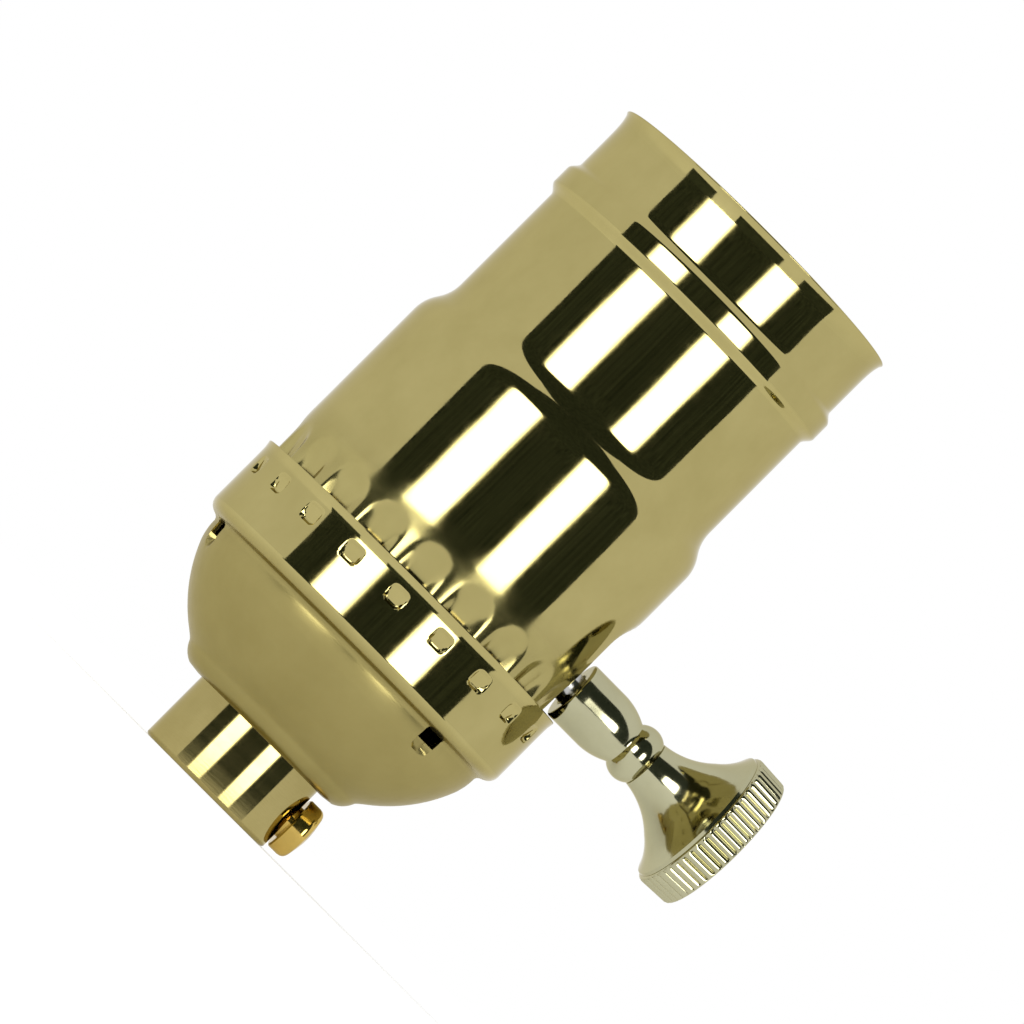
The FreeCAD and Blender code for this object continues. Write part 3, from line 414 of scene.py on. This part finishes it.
def flute_sink(degrees, z):
    """Depth of the scoops: a floor that ramps out towards the top on an even S, times an even S of
    the distance inside an outline with straight sides and a half-round top. None is at the flat."""
    side = np.radians(from_nearest(degrees)) * SHELL_R
    over_round = np.maximum(z - (FLUTE_TOP - FLUTE_HALF), 0.0)
    inside = FLUTE_HALF - np.hypot(side, over_round)
    floor = FLUTE_DEEP * smooth((FLUTE_TOP + FLUTE_OVER - z) / FLUTE_RUN)
    sink = floor * smooth(inside / FLUTE_EDGE)
    return np.where(np.abs(wrapped(degrees)) > FIRST + 2.0, sink, 0.0)


def make_shell():
    """Drawn shell, with columns round the axis and rows up it. Its radius less the scoops is cut by
    the flat, a plane that blends out above the shaft. The rows over the notch start on its round
    top and are level again at LEVEL_ROW. The last rows round the rim's outer edge."""
    notch = math.degrees(math.atan2(NOTCH_R, FLAT_X))
    columns = np.sort(np.concatenate([np.arange(-180, 180, 0.9), [-notch, notch]]))
    rows = np.concatenate([
        [SHELL_LOW, 22.5, 24.5, 25.8], np.arange(26.2, 29.8, 0.3), [SHAFT_Z],
        np.arange(30.1, 32.0, 0.22), [32.6, 33.6, LEVEL_ROW], np.arange(35.0, 40.2, 0.55), [41.5, 43.0],
        np.arange(STEP_LOW, 48.7, 0.375), [50.0, 54.0, 58.0, 59.4, 60.0],
        np.linspace(BEAD_HIGH - 2 * BEAD_HALF, BEAD_HIGH, 27), [64.5, 66.0, 67.6],
        np.arange(68.2, CURL_LOW, 0.25), [CURL_LOW, 70.06, 70.13, 70.2, 70.25],
        SHELL_TOP - EDGE_ROUND * (1 - np.sin(np.linspace(0, np.pi / 2, 7))),
    ])
    first = int(np.argmin(np.abs(rows - SHAFT_Z)))
    fixed = int(np.argmin(np.abs(rows - LEVEL_ROW)))
    degrees, z = np.meshgrid(columns, rows, indexing="ij")
    across = np.clip(np.abs(FLAT_X * np.tan(np.radians(columns))), 0, NOTCH_R)
    facing = np.abs(columns) < 90
    crown = np.where(facing, SHAFT_Z + np.sqrt(NOTCH_R**2 - across**2), SHAFT_Z)
    share = (rows[first:fixed] - SHAFT_Z) / (rows[fixed] - SHAFT_Z)
    z[:, first:fixed] = crown[:, None] + (rows[fixed] - crown[:, None]) * share[None, :]
    r = shell_radius(z) - flute_sink(degrees, z)
    lift = eased(z, FLAT_TOP, FLAT_END, 0.0, SHELL_R - FLAT_X)
    cosine = np.maximum(np.cos(np.radians(degrees)), 0.2)
    r = soft_min(r, (FLAT_X + lift) / cosine, FLAT_CORNER)
    near_rim = np.clip((z - SHELL_TOP + EDGE_ROUND) / EDGE_ROUND, 0, 1)
    r = r - EDGE_ROUND * (1 - np.sqrt(1 - 0.98 * near_rim**2))
    keep = np.ones((len(columns), len(rows) - 1), bool)
    keep[(columns >= -notch) & (columns < notch), :first] = False
    return drawn_sheet("brass_shell", around_axis(r, z, columns), keep, brass, 34.0)


# Cap


def cap_profile():
    """Foot, dome, valley and ridge up to the skirt: straight runs and arcs through three points,
    with corners rounded by a running average, read off at the rows' heights."""
    runs = [
        [(HOLE_R, HUB_TOP), (7.4, HUB_TOP), (8.6, HUB_TOP)],
        arc_points((8.6, HUB_TOP), (9.85, 7.76), (10.5, 8.75), 9),
        arc_points((10.96, 9.16), (14.54, 12.8), (16.22, 16.0), 28),
        arc_points((16.3, 16.3), (16.47, 17.1), (16.52, 17.75), 8),
        arc_points((16.5, 17.85), (16.62, 18.15), (16.96, 18.35), 6),
        [(17.2, 18.45), (17.48, 18.62)],
        arc_points((17.48, 18.62), (17.83, 19.05), (SKIRT_R, 19.7), 8),
    ]
    line = np.concatenate([np.array(run, float) for run in runs])
    line = line[np.concatenate([[True], np.linalg.norm(np.diff(line, axis=0), axis=1) > 1e-6])]
    length = np.concatenate([[0], np.cumsum(np.linalg.norm(np.diff(line, axis=0), axis=1))])
    fine = np.linspace(0, length[-1], 700)
    weight = np.hanning(15)
    weight /= weight.sum()
    r, z = (
        np.convolve(np.pad(np.interp(fine, length, way), 7, "edge"), weight, "valid") for way in line.T
    )
    heights = np.concatenate([
        np.linspace(7.1005, 9.0, 14)[1:], np.linspace(9.3, 15.2, 14), np.linspace(POCKET_LOW, WINDOW_LOW, 8),
        np.linspace(17.2, WINDOW_TOP, 5), np.linspace(18.3, 19.7, 14),
    ])
    radius = np.concatenate([[HOLE_R, 6.9, 7.9], np.interp(heights, z, r)])
    return radius, np.concatenate([np.full(3, HUB_TOP), heights])


def lance_sink(degrees, z):
    """Depth of the pressed lances: a floor that ramps in towards the lower edge, times an even S of
    the distance inside a rounded square, the curve where two fourth powers add up to one."""
    side = np.radians(from_nearest(degrees)) * SKIRT_R / LANCE_WIDE
    inside = 1.0 - (np.abs(side) ** 4 + np.abs((z - LANCE_MID) / LANCE_TALL) ** 4) ** 0.25
    floor = LANCE_DEEP * np.clip(0.2 + 0.4 * (LANCE_MID + LANCE_TALL - z) / LANCE_TALL, 0, 1)
    return floor * smooth(inside / LANCE_EDGE)


def pocket_sink(degrees, z):
    """Depth of the three pockets under the ridge: a floor that gets deeper up to the window, times
    an even S of the distance inside straight sides with a half-round bottom, ended over the window."""
    total = np.zeros_like(z)
    for centre in POCKETS:
        side = np.radians(wrapped(degrees - centre)) * POCKET_R
        under_round = np.maximum(POCKET_LOW + POCKET_HALF - z, 0.0)
        inside = POCKET_HALF - np.hypot(side, under_round)
        floor = POCKET_DEEP * smooth((z - POCKET_LOW + 0.5) / (WINDOW_LOW - POCKET_LOW + 0.5))
        over_window = smooth((WINDOW_TOP + 0.25 - z) / 0.25)
        total = np.maximum(total, floor * smooth(inside / POCKET_EDGE) * over_window)
    return total


def make_cap():
    """Drawn cap: the profile carried round the axis, less the lances on its skirt and the pockets
    under its ridge. Columns are closer at the lances, and one lies on each side of a window."""
    step = np.concatenate([np.linspace(-3.9, 3.9, 21), np.linspace(4.8, 13.2, 6)])
    columns = (np.arange(20)[:, None] * PITCH + FIRST - 180 + step[None, :]).ravel()
    half = math.degrees(POCKET_HALF / WINDOW_R)
    for edge in np.concatenate([[centre - half, centre + half] for centre in POCKETS]):
        columns[np.argmin(np.abs(wrapped(columns - edge)))] = edge
    columns = np.sort(wrapped(columns))
    radius, heights = cap_profile()
    lance_rows = np.concatenate([
        [20.4, 21.6, 22.6], np.linspace(23.1, 25.2, 22), [25.4, 25.8, 26.2, 26.42, SKIRT_TOP],
    ])
    skirt = SKIRT_R + SKIRT_OUT * np.clip(lance_rows - SKIRT_TOP + 1.0, 0, 1) ** 2
    skirt = skirt - 0.07 * smooth((lance_rows - SKIRT_TOP + 0.1) / 0.1)
    radius = np.concatenate([radius, skirt])
    heights = np.concatenate([heights, lance_rows])
    degrees, z = np.meshgrid(columns, heights, indexing="ij")
    r = radius[None, :] - np.where(z > 20.0, lance_sink(degrees, z), pocket_sink(degrees, z))
    keep = np.ones((len(columns), len(heights) - 1), bool)
    rows = (heights[:-1] > WINDOW_LOW - 0.01) & (heights[1:] < WINDOW_TOP + 0.01)
    middle = columns + wrapped(np.roll(columns, -1) - columns) / 2
    for centre in POCKETS:
        keep[np.ix_(np.abs(wrapped(middle - centre)) < half, rows)] = False
    return drawn_sheet("brass_cap", around_axis(r, z, columns), keep, cap_brass, 34.0)


# Hub, screw shell and knob


def make_hub():
    """Turned hub: a closed profile round the axis. Its bore is cut by a pipe thread, a sharp wave of
    the height and the angle together, and opens out at both ends."""
    columns = np.arange(0, 360, 2.5)
    chamfer = arc_points((HUB_R - 0.35, 0.0), (HUB_R - 0.1, 0.1), (HUB_R, 0.35), 6)
    seat = HUB_TOP + SHEET
    outside = np.concatenate([
        [(5.0, 0.0), (5.9, 0.0)], chamfer, [(HUB_R, 0.45), (HUB_R, 0.6), (HUB_R, 6.9), (HUB_R, HUB_TOP)],
        [(HOLE_R, HUB_TOP), (HOLE_R, seat), (6.9, seat), (6.8, seat + 0.3), (6.4, seat + 0.5)],
        [(5.4, seat + 0.5)],
    ])
    bore = np.linspace(seat + 0.5, 0.0, 124)
    profile_r = np.concatenate([outside[:, 0], np.full(len(bore), BORE_R)])
    profile_z = np.concatenate([outside[:, 1], bore])
    degrees, z = np.meshgrid(columns, profile_z, indexing="ij")
    phase = (z / PIPE_PITCH - degrees / 360.0) % 1.0
    groove = PIPE_DEEP * (1.0 - np.abs(2.0 * phase - 1.0))
    entry = 0.5 * (1.0 - smooth(z / 0.5)) + 0.4 * smooth((z - seat - 0.1) / 0.4)
    in_bore = np.arange(len(profile_r)) >= len(outside)
    r = profile_r[None, :] + np.where(in_bore[None, :], np.maximum(groove, entry), 0.0)
    return closed_ring("brass_hub", around_axis(r, z, columns), hub_brass, 45.0)


def make_screw_shell():
    """Rolled screw shell: a plain cup whose wall gets a round wave of the height and the angle
    together, faded in and out at its ends, and whose foot is turned in to a floor under the block."""
    columns = np.arange(0, 360, 3.0)
    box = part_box("screw_shell")
    low, high = box[0].z / MM, box[1].z / MM
    big = -box[0].y / MM
    rows = np.linspace(low + SCREW_SHELL_WALL, high, 150)
    degrees, z = np.meshgrid(columns, rows, indexing="ij")
    wave = 0.5 + 0.5 * np.cos(2 * np.pi * (z / LAMP_PITCH - degrees / 360.0))
    fade = smooth((z - low - 6.9) / 1.2) * smooth((high - 0.6 - z) / 1.2)
    outer_r = big - 0.02 - LAMP_DEEP * wave * fade - (1.0 - smooth((z - low - 5.3) / 1.6))
    inner_r = outer_r - SCREW_SHELL_WALL
    floor_r = np.broadcast_to([6.6, 11.0], (len(columns), 2))
    r = np.concatenate([floor_r, outer_r, inner_r[:, ::-1], floor_r[:, ::-1]], 1)
    level = np.full((len(columns), 2), low)
    z = np.concatenate([level, z, z[:, ::-1], level + SCREW_SHELL_WALL], 1)
    return closed_ring("rolled_screw_shell", around_axis(r, z, columns), contact_brass, 40.0)


def make_knob():
    """Turned knob: a profile carried round the shaft's axis, from the bottom of its hole over the
    stem, taper, bead and flared back to the drafted rim and the crowned face, a flat parabola. The
    rim is sunk between its ridges, which stand as a power of a half wave of the angle."""
    parts = [
        [(KNOB_HOLE_R, KNOB_HOLE_END), (KNOB_HOLE_R, KNOB_START + 0.3)],
        [(1.85, KNOB_START), (2.6, KNOB_START)],
        arc_points((2.92, KNOB_START), (3.06, KNOB_START + 0.06), (3.12, KNOB_START + 0.2), 4),
        [(3.12, 18.5), (3.12, 20.0)],
        arc_points((3.12, 21.2), (2.93, 22.65), (2.37, 24.1), 12),
        arc_points((2.37, 24.22), (2.91, 25.57), (2.37, 26.92), 17),
        arc_points((2.46, 26.95), (3.24, 29.6), (4.6, 31.55), 14),
        arc_points((4.72, 31.7), (6.0, 32.9), (7.15, 33.55), 10),
        [(7.3, 33.62)],
        arc_points((7.35, 33.95), (7.6, 34.05), (7.7, 34.35), 5),
        np.stack([np.linspace(7.7, 7.57, 6), np.linspace(34.5, 37.1, 6)], 1),
        arc_points((7.54, 37.2), (7.46, 37.3), (7.3, 37.38), 4),
    ]
    crown = np.linspace(6.9, 0.4, 10)
    parts.append(np.stack([crown, KNOB_FACE - 0.37 * (crown / 7.3) ** 2], 1))
    radius, x = np.concatenate([np.array(part, float) for part in parts]).T
    columns = np.arange(0, 360, 360 / (RIDGES * RIDGE_COLUMNS))
    ridge = np.abs(np.sin(np.pi * columns / 360.0 * RIDGES)) ** 0.75
    on_rim = np.clip((x - 34.1) / 0.2, 0, 1) * np.clip((37.36 - x) / 0.2, 0, 1)
    r = radius[None, :] - RIDGE_DEEP * (1.0 - ridge)[:, None] * on_rim[None, :]
    a = np.radians(columns)[:, None]
    grid = np.stack(np.broadcast_arrays(x[None, :], r * np.cos(a), SHAFT_Z + r * np.sin(a)), -1)
    first, last = (KNOB_HOLE_END, 0.0, SHAFT_Z), (KNOB_FACE, 0.0, SHAFT_Z)
    return poled("plated_knob", grid, first, last, knob_plating, 36.0)


dress_cad()
for maker, node, body, finish in (
    (make_shell, "shell", "shell_part", "shell_brass"),
    (make_cap, "cap", "holder", "shell_brass"),
    (make_hub, "hub", "holder", "shell_brass"),
    (make_screw_shell, "screw_shell", "holder", "contact_brass"),
    (make_knob, "knob", "switch", "knob_plate"),
):
    made = maker()
    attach(made, body)
    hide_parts(node)


# Studio: white backdrop all round, a pale floor, dark flags, two tall soft boxes by the camera and
# a plain lamp. Distances are in metres, and turns and rises in degrees from the camera's side.

AZIMUTH = math.radians(-9.0)
BACK = Vector((math.sin(AZIMUTH), -math.cos(AZIMUTH), 0.0))
RIGHT = Vector((math.cos(AZIMUTH), math.sin(AZIMUTH), 0.0))
MIDDLE = Vector((0.0, 0.0, 0.037))
FLAG_AWAY, FLAG_TURN, FLAG_HALF, FLAG_RISE = 1.2, 4.5, 67.5, 68.0
FLOOR_FLAGS = (("left_floor", -63.0, -38.5), ("middle_floor", -16.5, 22.5), ("right_floor", 41.5, 72.0))
BOX_AWAY, BOX_GLOW, BOX_RISE, BOX_HALF_RISE = 0.9, 8.0, -1.5, 25.0
KEY_AWAY, KEY_TURN, KEY_RISE, KEY_SIZE, KEY_POWER = 0.8, -35.0, 40.0, 0.6, 1.5
CAMERA_AWAY, CAMERA_SIDE, CAMERA_UP, AIM_UP, LENS = 0.9, 0.00192, 0.003, 0.03735, 351.2


def seen_or_mirrored(tree):
    """One for camera, glossy and transmission rays, and zero for the rest."""
    path = tree.nodes.new("ShaderNodeLightPath")
    total = path.outputs["Is Camera Ray"]
    for name in ("Is Glossy Ray", "Is Transmission Ray"):
        add = tree.nodes.new("ShaderNodeMath")
        add.operation = "MAXIMUM"
        tree.links.new(total, add.inputs[0])
        tree.links.new(path.outputs[name], add.inputs[1])
        total = add.outputs[0]
    return total


def set_world():
    """White where it is seen or mirrored, and a plain soft light elsewhere."""
    world = bpy.data.worlds.new("studio")
    bpy.context.scene.world = world
    world.use_nodes = True
    tree = world.node_tree
    background = tree.nodes["Background"]
    background.inputs["Color"].default_value = (1, 1, 1, 1)
    strength = spread(tree, seen_or_mirrored(tree), 0.8, 1.0, 0.0, 1.0)
    tree.links.new(strength, background.inputs["Strength"])


def matt(name, scale, detail, low, high, rough):
    """Matt surface without a shine, clouded between two colours."""
    material, tree, shader = new_material(name)
    cloud = pattern(tree, "ShaderNodeTexNoise", scale, Detail=detail)
    tree.links.new(tinted(tree, cloud.outputs["Fac"], low, high), shader.inputs["Base Color"])
    shader.inputs["Roughness"].default_value = rough
    shader.inputs["Specular IOR Level"].default_value = 0.0
    return material, tree, shader


def make_floor():
    """Pale floor with a faint grain. It glows a little where it is seen, so it is white there and
    its shadow stays."""
    mesh = bpy.data.meshes.new("floor")
    mesh.from_pydata([(-9, -9, 0), (9, -9, 0), (9, 9, 0), (-9, 9, 0)], [], [(0, 1, 2, 3)])
    material, tree, shader = matt("pale_floor", 40, 4.0, (0.76, 0.76, 0.76), (0.79, 0.79, 0.79), 0.9)
    lift = spread(tree, seen_or_mirrored(tree), 0.0, 0.4, 0.0, 1.0)
    shader.inputs["Emission Color"].default_value = (1, 1, 1, 1)
    tree.links.new(lift, shader.inputs["Emission Strength"])
    mesh.materials.append(material)
    placed("floor", mesh)


def stage_card(name, grid, material):
    """A card that only shows in polished metal: the faces of a grid of points in metres."""
    across, along = grid.shape[:2]
    i, j = np.meshgrid(np.arange(across - 1), np.arange(along - 1), indexing="ij")
    near, far = i * along + j, (i + 1) * along + j
    faces = np.stack([near, near + 1, far + 1, far], -1)
    mesh = bpy.data.meshes.new(name)
    mesh.from_pydata(grid.reshape(-1, 3).tolist(), [], faces.reshape(-1, 4).tolist())
    mesh.materials.append(material)
    card = placed(name, mesh)
    card.visible_camera = False
    card.visible_shadow = False
    card.visible_diffuse = False
    return card


def toward(turn, rise):
    """Direction at an angle from the camera's, to the right, and an elevation, in radians."""
    out, side = np.cos(rise) * np.cos(turn), np.cos(rise) * np.sin(turn)
    x = BACK.x * out + RIGHT.x * side
    y = BACK.y * out + RIGHT.y * side
    return np.stack(np.broadcast_arrays(x, y, np.sin(rise)), -1)


def make_flags():
    """Dark cloth round the camera: a patch of a wide ball, its outline between an ellipse and a
    rectangle, and its run along the floor in three pieces."""
    cloth = matt("dark_cloth", 30, 3.0, (0.03, 0.038, 0.03), (0.075, 0.09, 0.07), 1.0)[0]
    share = np.linspace(0, 1, 16)[:, None]
    t = np.linspace(0, 2 * np.pi, 97)[None, :]
    power = 2 / 2.8
    turn = np.radians(FLAG_TURN + FLAG_HALF * share * np.sign(np.cos(t)) * np.abs(np.cos(t)) ** power)
    rise = np.radians(FLAG_RISE * share * np.sign(np.sin(t)) * np.abs(np.sin(t)) ** power)
    stage_card("front_flag", np.array(MIDDLE) + FLAG_AWAY * toward(turn, rise), cloth)
    for name, start, end in FLOOR_FLAGS:
        turn = np.radians(np.linspace(start, end, 14))[:, None]
        ground = toward(turn, 0 * turn) * np.linspace(0.2, 1.19, 12)[None, :, None]
        stage_card(name, ground + np.array([0, 0, 0.0004]), cloth)


def soft_box(name, turn, half_turn):
    """Tall soft box facing the object: a card that glows by the square of an even S of the distance
    inside its outline, where a fourth power across and a ninth power up add up to one."""
    cloth, tree, shader = new_material(name + "_cloth")
    light = tree.nodes.new("ShaderNodeAttribute")
    light.attribute_name = "glow"
    colour = tinted(tree, light.outputs["Fac"], (0.02, 0.02, 0.015), (1, 1, 0.97), 0.0, 1.0)
    tree.links.new(colour, shader.inputs["Emission Color"])
    shader.inputs["Emission Strength"].default_value = BOX_GLOW
    shader.inputs["Base Color"].default_value = (0, 0, 0, 1)
    across, up = np.meshgrid(np.linspace(-1, 1, 61), np.linspace(-1, 1, 91), indexing="ij")
    sky = toward(np.radians(turn + half_turn * across), np.radians(BOX_RISE + BOX_HALF_RISE * up))
    card = stage_card(name, np.array(MIDDLE) + BOX_AWAY * sky, cloth)
    inside = 1 - (np.abs(across) ** 4 + np.abs(up) ** 9)
    field = card.data.attributes.new("glow", "FLOAT", "POINT")
    field.data.foreach_set("value", (smooth(inside / 0.85) ** 2).ravel().astype(np.float32))


def key_light():
    """Wide plain lamp above the camera's left, for the floor's shadow and the moulded pieces."""
    lamp = bpy.data.lights.new("key", "AREA")
    lamp.size = KEY_SIZE
    lamp.energy = KEY_POWER
    key = placed("key", lamp)
    key.location = Vector(KEY_AWAY * toward(np.radians(KEY_TURN), np.radians(KEY_RISE))) + MIDDLE
    key.rotation_euler = (MIDDLE - key.location).to_track_quat("-Z", "Y").to_euler()
    key.visible_camera = False
    key.visible_glossy = False


def set_camera():
    """Camera at the photograph's angle, rolled so that the lamp axis points up to the right."""
    camera = bpy.data.cameras.new("camera")
    camera.lens = LENS
    camera.sensor_width = 36.0
    camera.clip_start = 0.05
    camera.clip_end = 60.0
    eye = placed("camera", camera)
    place = BACK * CAMERA_AWAY + RIGHT * CAMERA_SIDE + Vector((0, 0, CAMERA_UP))
    target = RIGHT * CAMERA_SIDE + Vector((0, 0, AIM_UP))
    ahead = (target - place).normalized()
    up = Vector((0, 0, 1)) - RIGHT
    up = (up - ahead * up.dot(ahead)).normalized()
    across = ahead.cross(up)
    eye.matrix_world = Matrix.Translation(place) @ Matrix((across, up, -ahead)).transposed().to_4x4()
    bpy.context.scene.camera = eye


set_world()
make_floor()
make_flags()
soft_box("left_box", -27.5, 14.6)
soft_box("right_box", 32.0, 12.8)
key_light()
set_camera()
bpy.context.scene.view_settings.view_transform = "Standard"
